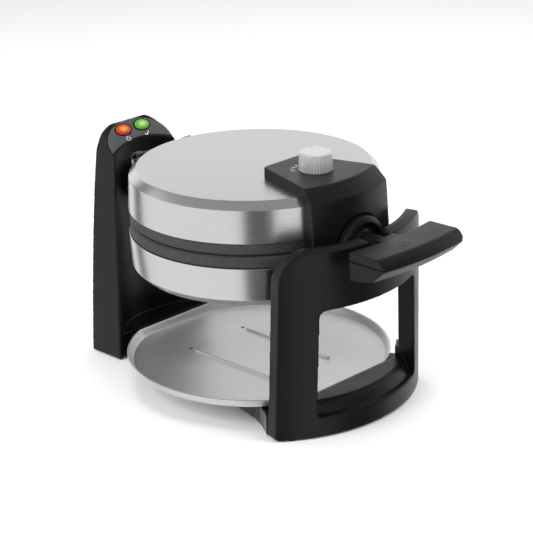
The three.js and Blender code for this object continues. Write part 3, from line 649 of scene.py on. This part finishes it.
def half_neck(name):
    """Upper half of the collar and neck, which are split along the parting plane."""
    collar = rounded([
        (0, 0, 0),
        (HUB_R, 0, 0),
        (HUB_R, 6.4, 2.4),
        (HUB_R - 5.5, 8.6, 2.0),
        (NECK_R + 4.5, 5.2, 3.0),
        (NECK_R, 6.4, 2.0),
        (NECK_R, 32, 0),
        (0, 32, 0),
    ])
    turned = lathe(name, [(r, -COVER_R + 3 - h) for r, h in collar], 128, (0, 0, AXIS_Z), "y")
    return meet(turned, block("upper", -60, 60, -220, 0, AXIS_Z + 0.15, AXIS_Z + 60))


def bent_grip(name):
    """The grip's section drawn along x and bowed forward in the middle."""
    section = rounded([
        (GRIP_REAR, GRIP_TOP - 0.4, 1),
        (GRIP_FRONT + 6.5, GRIP_TOP, 6),
        (GRIP_FRONT, GRIP_SPLIT, 5),
        (GRIP_FRONT + 13, GRIP_BOTTOM + 4.5, 6),
        (GRIP_REAR - 0.5, GRIP_BOTTOM, 2),
    ])
    slices = 24
    verts, faces = [], []
    count = len(section)
    for i in range(slices + 1):
        t = 2 * i / slices - 1
        for y, z in section:
            verts.append((t * GRIP_HALF, y - GRIP_BOW * (1 - t * t), z))
        for k in range(count if i else 0):
            n = (k + 1) % count
            low, high = (i - 1) * count, i * count
            faces.append([low + k, low + n, high + n, high + k])
    faces.append(list(range(count)))
    faces.append(list(range(slices * count, (slices + 1) * count)))
    return solid(name, verts, faces)


def neck_web(name, low, high):
    outline = rounded([
        (-NECK_R + 0.6, -146, 0),
        (NECK_R - 0.6, -146, 0),
        (NECK_R - 0.6, -152, 6),
        (26, -162, 0),
        (-26, -162, 0),
        (-NECK_R + 0.6, -152, 6),
    ])
    return extrude(name, outline, "z", low, high)


def grip_half(name, low, high):
    return meet(bent_grip(name), block("layer", -60, 60, -220, -140, low, high))


def rotate_mark():
    """Generic turn-over sign on the grip: two arrows bent round each other."""
    parts = []
    top = GRIP_TOP
    centre = (-6, -174)
    for half_turn in (0, math.pi):
        outer, inner = 4.3, 3.5
        arc = [math.radians(25 + 12.5 * k) + half_turn for k in range(11)]
        points = [(outer * math.cos(a), outer * math.sin(a)) for a in arc]
        points += [(inner * math.cos(a), inner * math.sin(a)) for a in reversed(arc)]
        parts.append([(x * 1.25 + centre[0], y * 0.8 + centre[1]) for x, y in points])
        tip = arc[-1] + 0.42
        head = [((inner - 1.1) * math.cos(arc[-1]), (inner - 1.1) * math.sin(arc[-1])),
                ((outer + 1.1) * math.cos(arc[-1]), (outer + 1.1) * math.sin(arc[-1])),
                (3.9 * math.cos(tip), 3.9 * math.sin(tip))]
        parts.append([(x * 1.25 + centre[0], y * 0.8 + centre[1]) for x, y in head])
    return merge("turn_over_mark", [extrude("mark", p, "z", top - 0.3, top + 0.06) for p in parts])


# ---- head: make the pieces ------------------------------------------------------------------------
upper = steel_housing("upper_housing_pan")
lower = flipped(upper, "lower_housing_pan")
settle(upper, "lid", WALL_STEEL, "brushed_steel", "upper_housing")
settle(lower, "head", WALL_STEEL, "brushed_steel", "lower_housing")
assign_disc(upper)
assign_disc(lower)

plate = waffle_plate("lower_waffle_plate")
lid_plate = flipped(plate, "upper_waffle_plate")
settle(smooth_by_angle(plate, 50), "head", CAST, "cast_plate", "lower_plate")
settle(smooth_by_angle(lid_plate, 50), "lid", CAST, "cast_plate", "upper_plate")

cover = front_cover("lid_front_cover_shell")
under_cover = flipped(cover, "lower_front_cover_shell")
settle(cover, "lid", BLACK, "black_plastic", "lid_front_cover")
settle(under_cover, "head", BLACK, "black_plastic", "lower_front_cover")
settle(pad_marks(), "lid", MARK, "silver_plastic")
knob = browning_knob("fluted_knob")
settle(smooth_by_angle(knob, 40), "knob", SILVER, "silver_plastic", "browning_knob")

neck = half_neck("upper_neck")
lower_neck = flipped(neck, "lower_neck")
top_grip = join(neck, neck_web("web", GRIP_SPLIT + 0.15, GRIP_TOP - 2.5),
                grip_half("grip", GRIP_SPLIT + 0.15, GRIP_TOP))
settle(mould(top_grip, 0.6, 9), "lid", BLACK, "black_plastic", "lid_handle")
low_grip = join(lower_neck, neck_web("web", GRIP_BOTTOM + 1.5, AXIS_Z - 0.15),
                grip_half("grip", GRIP_BOTTOM, GRIP_SPLIT - 0.15))
settle(mould(low_grip, 0.6, 9), "head", BLACK, "black_plastic", "lower_handle")
settle(rotate_mark(), "lid", GREY, "grey_plastic")

for node, body in (("lower_rear_cover", "head"), ("lid_rear_cover", "lid")):
    shell = cad_copy(node, node + "_shell")
    meet(shell, block("span", -REAR_HALF, REAR_HALF, 0, 200, AXIS_Z - REAR_RISE, AXIS_Z + REAR_RISE))
    settle(mould(shell, 0.6, 7), body, BLACK, "black_plastic", node)


# ---- drip tray ------------------------------------------------------------------------------------
def tray_outline(radius, front, rear):
    """Round tray with a flat front and a flat rear edge."""
    points = []
    front_turn = math.asin(front / radius)
    rear_turn = math.asin(rear / radius)
    count = 56
    for k in range(count + 1):
        turn = front_turn + (rear_turn - front_turn) * k / count
        points.append((radius * math.cos(turn), radius * math.sin(turn)))
    left = [(-x, y) for x, y in reversed(points)]
    return points + left


def drip_tray(name):
    """Pressed sheet: floor with two ribs and their drain holes, and a rim steeper at the flats."""
    levels = [
        (TRAY_FLOOR_R - 1.6, 0),
        (TRAY_FLOOR_R - 0.6, 0.25),
        (TRAY_FLOOR_R + 0.2, 0.9),
        (TRAY_FLOOR_R + 0.9, 2.2),
        (TRAY_R - 2.0, TRAY_RIM - TRAY_BOTTOM - 2.4),
        (TRAY_R - 1.5, TRAY_RIM - TRAY_BOTTOM - 1.3),
        (TRAY_R - 0.8, TRAY_RIM - TRAY_BOTTOM - 0.9),
        (TRAY_R, TRAY_RIM - TRAY_BOTTOM - 1.2),
    ]
    verts, rows = [], []
    for radius, height in levels:
        reach = (radius - TRAY_R) * FLAP_STEEP
        rows.append(len(verts))
        for x, y in tray_outline(radius, TRAY_FRONT - reach, TRAY_REAR + reach):
            verts.append((x, y, TRAY_BOTTOM + TRAY_T + height))
    count = len(tray_outline(TRAY_R, TRAY_FRONT, TRAY_REAR))
    faces = []
    for low, high in zip(rows, rows[1:]):
        for k in range(count):
            n = (k + 1) % count
            faces.append((low + k, low + n, high + n, high + k))
    faces.append(list(range(count)))
    sheet = solid(name, verts, faces)
    thick = sheet.modifiers.new("thickness", "SOLIDIFY")
    thick.thickness = TRAY_T
    thick.offset = 0
    settled_mesh(sheet)
    deck = TRAY_BOTTOM + 1.5 * TRAY_T
    for x in (-RIB_X, RIB_X):
        outline = rounded([(x - 1.9, RIB_FRONT, 1.8), (x + 1.9, RIB_FRONT, 1.8),
                           (x + 1.9, RIB_REAR, 1.8), (x - 1.9, RIB_REAR, 1.8)])
        rib = bevel(extrude("rib", outline, "z", deck - 0.6, deck + 1.7), 0.5, 2, 60)
        join(sheet, rib)
        cut(sheet, rod("hole", "z", 1.7, 1.7, 0, 40, (x, RIB_REAR + 5.5, 0), 32))
    return sheet


tray = drip_tray("pressed_drip_tray")
settle(smooth_by_angle(tray, 40), "tray", TRAY_STEEL, "tray_steel", "drip_tray")


# ---- front frame ----------------------------------------------------------------------------------
def frame_outline():
    """Front view of the frame: two legs with feet, and the seat of the neck at the top."""
    shoulder, notch, top = 27, 12.4, 163.5
    seat = []
    for k in range(17):
        turn = math.pi * k / 16
        seat.append((notch * math.cos(turn), AXIS_Z - notch * math.sin(turn), 0))
    return rounded([
        (-FRAME_FOOT, GROUND_GAP, 3),
        (FRAME_FOOT, GROUND_GAP, 3),
        (FRAME_TOP_HALF - 0.5, top, shoulder),
        (notch, top, 4),
        *seat[1:-1],
        (-notch, top, 4),
        (-FRAME_TOP_HALF + 0.5, top, shoulder),
    ], 12)


def window_outline():
    return rounded([
        (-61, WINDOW_LOW, 5),
        (61, WINDOW_LOW, 5),
        (57.5, WINDOW_HIGH, 6),
        (-57.5, WINDOW_HIGH, 6),
    ], 8)


def front_frame(name):
    wall = lathe(name, [(FRAME_IN, -5), (FRAME_OUT, -5), (FRAME_OUT, FRAME_FRONT_Z),
                        (FRAME_IN, FRAME_BACK_Z)], 256, (0, FRAME_Y, 0))
    plan = extrude("outline", frame_outline(), "y", -160, -60)
    seat_half, true_y = 20, -108
    for vert in plan.data.vertices:
        if abs(vert.co.x) > seat_half:
            vert.co.x *= 1 - FRAME_TAPER * (vert.co.y - true_y)
    body = meet(wall, plan)
    liner = lathe("liner", [(LINER_IN, 20), (FRAME_IN + 2, 20), (FRAME_IN + 2, 126),
                            (LINER_IN, 121)], 256, (0, FRAME_Y, 0))
    meet(liner, extrude("strip", [(-76, 20), (76, 20), (71, 126), (-71, 126)], "y", -160, -60))
    join(body, liner)
    cut(body, extrude("window", window_outline(), "y", -160, -60))
    cove = rounded([
        (RIDGE_R, GROUND_GAP, 0),
        (FRAME_OUT - 0.05, GROUND_GAP, 0),
        (FRAME_OUT - 0.05, WINDOW_LOW, 0),
        (FRAME_OUT - 5, WINDOW_LOW + 0.8, 3),
        (FRAME_OUT - 9.5, RIDGE_Z - 2.5, 5),
        (RIDGE_R, RIDGE_Z, 0),
    ])
    sill = lathe("sill", cove, 256, (0, FRAME_Y, 0))
    meet(sill, block("middle", -62.5, 62.5, -150, -60, 0, 60))
    join(body, sill)
    for side in (-1, 1):
        step = lathe("step", [(112.6, 15), (LINER_IN + 2, 15), (LINER_IN + 2, 37), (112.6, 37)],
                     256, (0, FRAME_Y, 0))
        x0, x1 = sorted((side * 60.5, side * 74))
        meet(step, block("side", x0, x1, -150, -60, 0, 60))
        join(body, step)
    return mould(body, 0.52, 24)


settle(front_frame("curved_front_frame"), "root", BLACK, "black_plastic", "front_frame")


# ---- base -----------------------------------------------------------------------------------------
def base_outline():
    """Waist of the base in plan, flaring out to the legs of the frame."""
    right = [(50, 114), (50, 60), (52.5, 36), (60, -14), (62.3, -30), (66.5, -49), (70, -63),
             (75, -75), (81, -85.5), (86.5, -93.5)]
    left = [(-x, y) for x, y in reversed(right)]
    return right + left


def base_platform(name):
    base = extrude(name, base_outline(), "z", GROUND_GAP, TRAY_BOTTOM - 0.4)
    inside = FRAME_IN - 0.3
    room = rod("room", "z", inside, inside, 0, 60, (0, FRAME_Y, 0), 256)
    apron = extrude("apron", [(-76, -80), (76, -80), (86, -96), (86, -135), (-86, -135), (-86, -96)],
                    "z", GROUND_GAP, TRAY_BOTTOM - 0.4)
    join(base, meet(apron, room))
    ridge_room = rod("room", "z", RIDGE_R + 1.5, RIDGE_R + 1.5, 0, 60, (0, FRAME_Y, 0), 256)
    ridge = extrude("ridge", [(-61, -107), (61, -107), (61, -135), (-61, -135)], "z", GROUND_GAP,
                    RIDGE_Z)
    join(base, meet(ridge, ridge_room))
    join(base, block("rear", -50, 50, 106.5, 114, GROUND_GAP, 22))
    return mould(base, 0.8, 4)


settle(base_platform("base_moulding"), "root", BLACK, "black_plastic", "base_platform")


# ---- tower ----------------------------------------------------------------------------------------
def tower_side():
    foot_y = 114.7
    lean = (PANEL_Y - foot_y) / PANEL_Z
    straight_z, back_sweep, steps = 172, 10.9, 16
    back = []
    for k in range(steps + 1):
        z = straight_z * (1 - k / steps)
        drop = (straight_z - z) / straight_z
        back.append((TOWER_BACK - back_sweep * drop ** 1.7, max(z, GROUND_GAP)))
    return [
        (foot_y + lean * GROUND_GAP, GROUND_GAP),
        (PANEL_Y, PANEL_Z),
        (159.0, PANEL_Z + 21.5),
        (160.6, TOWER_TOP - 1.4),
        (161.6, TOWER_TOP - 3.4),
        (162.6, 195),
        (163.3, 184),
    ] + back


def tower_front():
    arch = [
        (TOWER_FOOT_HALF, 0),
        (TOWER_TOP_HALF, PANEL_Z),
        (35.6, 185.5),
        (33.8, 189.4),
        (31.5, 194.8),
        (28.5, 198.4),
        (25.0, 201.2),
        (20.5, 203.5),
        (15.0, 205.0),
        (8.0, 205.7),
        (0, 205.9),
    ]
    left = [(-x, z) for x, z in reversed(arch[:-1])]
    return arch + left


def scoop(name):
    """Leaning round hollow in the tower's front, behind the head."""
    z0, z1 = LEDGE_Z, 230
    known_z = 189
    r0, known_r = 75.1, 89.8
    y0, known_y = 66.4, 55.5
    slope = (known_r - r0) / (known_z - LEDGE_Z)
    shift = (known_y - y0) / (known_z - LEDGE_Z)
    r1 = r0 + slope * (z1 - z0)
    steps = 256
    verts = []
    for r, z in ((r0, z0), (r1, z1)):
        for k in range(steps):
            turn = 2 * math.pi * k / steps
            y = y0 + shift * (z - LEDGE_Z)
            verts.append((r * math.cos(turn), y + r * math.sin(turn), z))
    faces = [list(range(steps)), list(range(steps, 2 * steps))]
    for k in range(steps):
        n = (k + 1) % steps
        faces.append([k, n, steps + n, steps + k])
    return solid(name, verts, faces)


def tower_block(name):
    tower = meet(extrude(name, tower_side(), "x", -80, 80),
                 extrude("front", tower_front(), "y", 100, 180))
    return cut(tower, scoop("scoop"))


def panel_outline(inset):
    """Lamp panel, drawn flat: x across, and up the slope from its lower corners."""
    slope_len = (TOWER_TOP - PANEL_Z) / math.sin(PANEL_TILT)
    half = TOWER_TOP_HALF - inset
    lower = []
    for k in range(-16, 17):
        t = k / 16
        lower.append((t * half, 11.0 + inset - (10.0 - 1.4 * inset) * abs(t) ** 2.1))
    upper = []
    for k in range(23):
        turn = math.pi * k / 22
        x = math.cos(turn)
        up = math.sin(turn) ** 0.72
        upper.append((half * x * (1 - 0.02 * up), 1 + 1.4 * inset + (slope_len - 2.4 * inset - 2) * up))
    return lower + upper[1:-1]


def oval(obj, x):
    """Widens a round lamp part, drawn flat around (x, LAMP_V)."""
    shift = Matrix.Translation((x, LAMP_V, 0))
    obj.data.transform(shift @ Matrix.Diagonal((LAMP_WIDE, LAMP_LOW, 1, 1)) @ shift.inverted())
    return obj


def on_panel(obj):
    obj.data.transform(Matrix.Translation((0, PANEL_Y, PANEL_Z)) @ Matrix.Rotation(PANEL_TILT, 4, "X"))
    return obj


tower = tower_block("tower_post")
BORE_R = 13.3
BORE_FRONT, BORE_REAR = 120, 157
shaft_bore = rod("bore", "y", BORE_R, BORE_R, BORE_FRONT, BORE_REAR, (0, 0, AXIS_Z))
cut(tower, shaft_bore)
panel_seat = on_panel(extrude("seat", panel_outline(0.7), "z", -1.6, 6))
cut(tower, panel_seat)
mould(tower, 0.75, 14)
cap = link("tower_top", tower.data.copy())
SEAM = 0.14
meet(tower, block("low", -90, 90, 90, 190, -5, AXIS_Z - SEAM))
meet(cap, block("high", -90, 90, 90, 190, AXIS_Z + SEAM, 240))
settle(smooth_by_angle(tower), "root", BLACK, "black_plastic", "tower_shell")
settle(smooth_by_angle(cap), "root", BLACK, "black_plastic", "tower_cap")

panel = extrude("lamp_panel_plate", panel_outline(1.0), "z", -1.6, -0.25)
for x in (-LAMP_X, LAMP_X):
    cut(panel, oval(rod("hole", "z", LAMP_R + 1.0, LAMP_R + 1.0, -5, 5, (x, LAMP_V, 0)), x))
settle(smooth_by_angle(bevel(on_panel(panel), 0.35, 2)), "root", GREY, "grey_plastic", "lamp_panel")


def lamp_ring(x):
    profile = rounded([(LAMP_R, -1.5, 0), (LAMP_R + 0.9, -1.5, 0), (LAMP_R + 0.9, 0.3, 0.3),
                       (LAMP_R, 0.3, 0.3)], 3)
    return oval(lathe("ring", profile, 64, (x, LAMP_V, 0)), x)


def lens(name, x):
    """Low oval dome on a short stem."""
    profile = [(0, -2.0), (LAMP_R - 0.1, -2.0)]
    rise = 1.5
    for k in range(9):
        t = k / 8
        profile.append(((LAMP_R - 0.1) * math.cos(t * math.pi / 2), 0.1 + rise * math.sin(t * math.pi / 2)))
    profile[-1] = (0, 0.1 + rise)
    return on_panel(oval(lathe(name, profile, 64, (x, LAMP_V, 0)), x))


rings = merge("lamp_rings", [on_panel(lamp_ring(x)) for x in (-LAMP_X, LAMP_X)])
settle(rings, "root", SLOT_DARK, "black_plastic")
settle(lens("red_lens", -LAMP_X), "root", RED, "red_lamp", "power_lamp")
settle(lens("green_lens", LAMP_X), "root", GREEN, "green_lamp", "ready_lamp")


def lamp_marks():
    """Generic signs below the lamps: a ring with a stroke, and a tick."""
    base = -0.3
    top = -0.18
    v = LAMP_V - LAMP_R - 3.0
    signs = []
    arc = [math.radians(125 + 290 * k / 20) for k in range(21)]
    ring = [(1.75 * math.cos(a) - LAMP_X, 1.75 * math.sin(a) + v) for a in arc]
    ring += [(1.35 * math.cos(a) - LAMP_X, 1.35 * math.sin(a) + v) for a in reversed(arc)]
    signs.append(ring)
    signs.append([(-LAMP_X - 0.2, v + 0.3), (-LAMP_X + 0.2, v + 0.3), (-LAMP_X + 0.2, v + 2.1),
                  (-LAMP_X - 0.2, v + 2.1)])
    x = LAMP_X
    signs.append([(x - 1.9, v + 0.1), (x - 0.5, v - 1.5), (x + 2.1, v + 1.6), (x + 1.7, v + 1.9),
                  (x - 0.5, v - 0.8), (x - 1.6, v + 0.4)])
    grown = []
    for k, sign in enumerate(signs):
        middle = LAMP_X if k == 2 else -LAMP_X
        grown.append([((a - middle) * 1.5 + middle, (b - v) * 1.2 + v) for a, b in sign])
    return merge("lamp_signs", [on_panel(extrude("sign", s, "z", base, top)) for s in grown])


settle(lamp_marks(), "root", MARK, "silver_plastic")

back_cover = cad_copy("tower_rear_cover", "tower_back_plate")
settle(smooth_by_angle(bevel(back_cover, 0.6, 2)), "root", BLACK, "black_plastic", "tower_rear_cover")

# ---- CAD pieces that stay as they are ---------------------------------------------------------------
KEPT = {
    "base_bottom_cover": BLACK,
    "lamp_board": BOARD,
    "pivot_bush": NYLON,
    "cord_gland": RUBBER,
    "front_left_foot": RUBBER,
    "front_right_foot": RUBBER,
    "rear_left_foot": RUBBER,
    "rear_right_foot": RUBBER,
    "lower_heating_element": HEATER,
    "upper_heating_element": HEATER,
    "lower_reflector": ALUMINIUM,
    "upper_reflector": ALUMINIUM,
    "hinge_pin": BARE_STEEL,
    "pivot_shaft": BARE_STEEL,
    "pivot_clip": BARE_STEEL,
    "thermal_fuse": BARE_STEEL,
    "thermostat": BARE_STEEL,
    "knob_shaft": BRASS,
}
for node, material in KEPT.items():
    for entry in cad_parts[node].material_slots:
        entry.material = material


# ---- floor, light and camera ------------------------------------------------------------------------
WORLD_DARK = 0.10
WORLD_CEILING = 0.30
# bright stretches of the horizon: from and to azimuth, softness (degrees) and brightness
WORLD_BANDS = [
    (-166, -58, 5, 0.72),
    (-26, 4, 5, 0.72),
    (60, 170, 12, 0.80),
]
def pale_floor():
    side = 8
    mesh = bpy.data.meshes.new("floor")
    mesh.from_pydata([(-side, -side, 0), (side, -side, 0), (side, side, 0), (-side, side, 0)], [],
                     [(0, 1, 2, 3)])
    floor = link("floor", mesh)
    material, tree, bsdf = shader("pale floor", (0.88, 0.88, 0.88), 0, 0.9, 0.1)
    mesh.materials.append(material)
    floor.visible_glossy = False


def area_light(name, azimuth, elevation, distance, size_x, size_y, power):
    """A softbox that faces the object. Azimuth 0 is in front, and 90 to the right."""
    a, e = math.radians(azimuth), math.radians(elevation)
    aim = Vector((0, HEAD_Y * MM, 0.12))
    out = Vector((math.sin(a) * math.cos(e), -math.cos(a) * math.cos(e), math.sin(e)))
    light = bpy.data.lights.new(name, "AREA")
    light.shape = "RECTANGLE"
    light.size = size_x
    light.size_y = size_y
    light.energy = power
    obj = bpy.data.objects.new(name, light)
    bpy.context.scene.collection.objects.link(obj)
    obj.visible_glossy = False
    obj.location = aim + out * distance
    obj.rotation_mode = "QUATERNION"
    obj.rotation_quaternion = (-out).to_track_quat("-Z", "Y")


def band(tree, value, low, high, soft):
    """1 between low and high, fading out over `soft` on both sides."""
    sides = []
    for start, end in ((low - soft, low), (high + soft, high)):
        side = tree.nodes.new("ShaderNodeMapRange")
        side.interpolation_type = "SMOOTHSTEP"
        side.inputs["From Min"].default_value = start
        side.inputs["From Max"].default_value = end
        tree.links.new(value, side.inputs["Value"])
        sides.append(side.outputs["Result"])
    both = tree.nodes.new("ShaderNodeMath")
    both.operation = "MULTIPLY"
    tree.links.new(sides[0], both.inputs[0])
    tree.links.new(sides[1], both.inputs[1])
    return both.outputs["Value"]


def studio():
    """Soft room: grey ceiling, bright horizon with two darker bands, and three softboxes."""
    world = bpy.data.worlds.new("studio")
    world.use_nodes = True
    tree = world.node_tree
    background = tree.nodes["Background"]
    coords = tree.nodes.new("ShaderNodeTexCoord")
    parts = tree.nodes.new("ShaderNodeSeparateXYZ")
    tree.links.new(coords.outputs["Generated"], parts.inputs["Vector"])
    flipped_y = tree.nodes.new("ShaderNodeMath")
    flipped_y.operation = "MULTIPLY"
    flipped_y.inputs[1].default_value = -1
    tree.links.new(parts.outputs["Y"], flipped_y.inputs[0])
    azimuth = tree.nodes.new("ShaderNodeMath")
    azimuth.operation = "ARCTAN2"
    tree.links.new(parts.outputs["X"], azimuth.inputs[0])
    tree.links.new(flipped_y.outputs["Value"], azimuth.inputs[1])
    total = None
    for low, high, soft, gain in WORLD_BANDS:
        value = band(tree, azimuth.outputs["Value"], math.radians(low), math.radians(high),
                     math.radians(soft))
        add = tree.nodes.new("ShaderNodeMath")
        add.operation = "MULTIPLY_ADD"
        add.inputs[1].default_value = gain
        tree.links.new(value, add.inputs[0])
        if total is None:
            add.inputs[2].default_value = WORLD_DARK
        else:
            tree.links.new(total, add.inputs[2])
        total = add.outputs["Value"]
    ceiling = tree.nodes.new("ShaderNodeMapRange")
    ceiling.interpolation_type = "SMOOTHSTEP"
    ceiling.inputs["From Min"].default_value = 0.42
    ceiling.inputs["From Max"].default_value = 0.72
    tree.links.new(parts.outputs["Z"], ceiling.inputs["Value"])
    mix = tree.nodes.new("ShaderNodeMix")
    tree.links.new(ceiling.outputs["Result"], mix.inputs["Factor"])
    tree.links.new(total, mix.inputs["A"])
    mix.inputs["B"].default_value = WORLD_CEILING
    background.inputs["Color"].default_value = (0.985, 0.99, 1.0, 1)
    tree.links.new(mix.outputs["Result"], background.inputs["Strength"])
    bpy.context.scene.world = world
    bpy.context.scene.view_settings.view_transform = "Standard"
    area_light("left softbox", -100, 34, 1.9, 1.2, 1.3, 26)
    area_light("right softbox", 20, 34, 1.9, 1.0, 1.2, 18)
    area_light("top softbox", 120, 78, 1.8, 1.8, 1.8, 30)


def camera():
    """Same view as the photograph: azimuth, elevation, distance and a slight roll."""
    azimuth, elevation = math.radians(-45.08), math.radians(20.85)
    distance, roll = 1.6648, math.radians(-1.46)
    target = Vector((0.00598, 0.00824, 0.10128))
    back = Vector((math.sin(azimuth) * math.cos(elevation), -math.cos(azimuth) * math.cos(elevation),
                   math.sin(elevation)))
    data = bpy.data.cameras.new("camera")
    data.lens = 130.13
    data.sensor_width = 36
    data.clip_start, data.clip_end = 0.05, 50
    obj = bpy.data.objects.new("camera", data)
    bpy.context.scene.collection.objects.link(obj)
    obj.location = target + back * distance
    facing = (-back).to_track_quat("-Z", "Y").to_matrix().to_4x4()
    obj.rotation_mode = "QUATERNION"
    obj.rotation_quaternion = (facing @ Matrix.Rotation(roll, 4, "Z")).to_quaternion()
    bpy.context.scene.camera = obj


pale_floor()
studio()
camera()
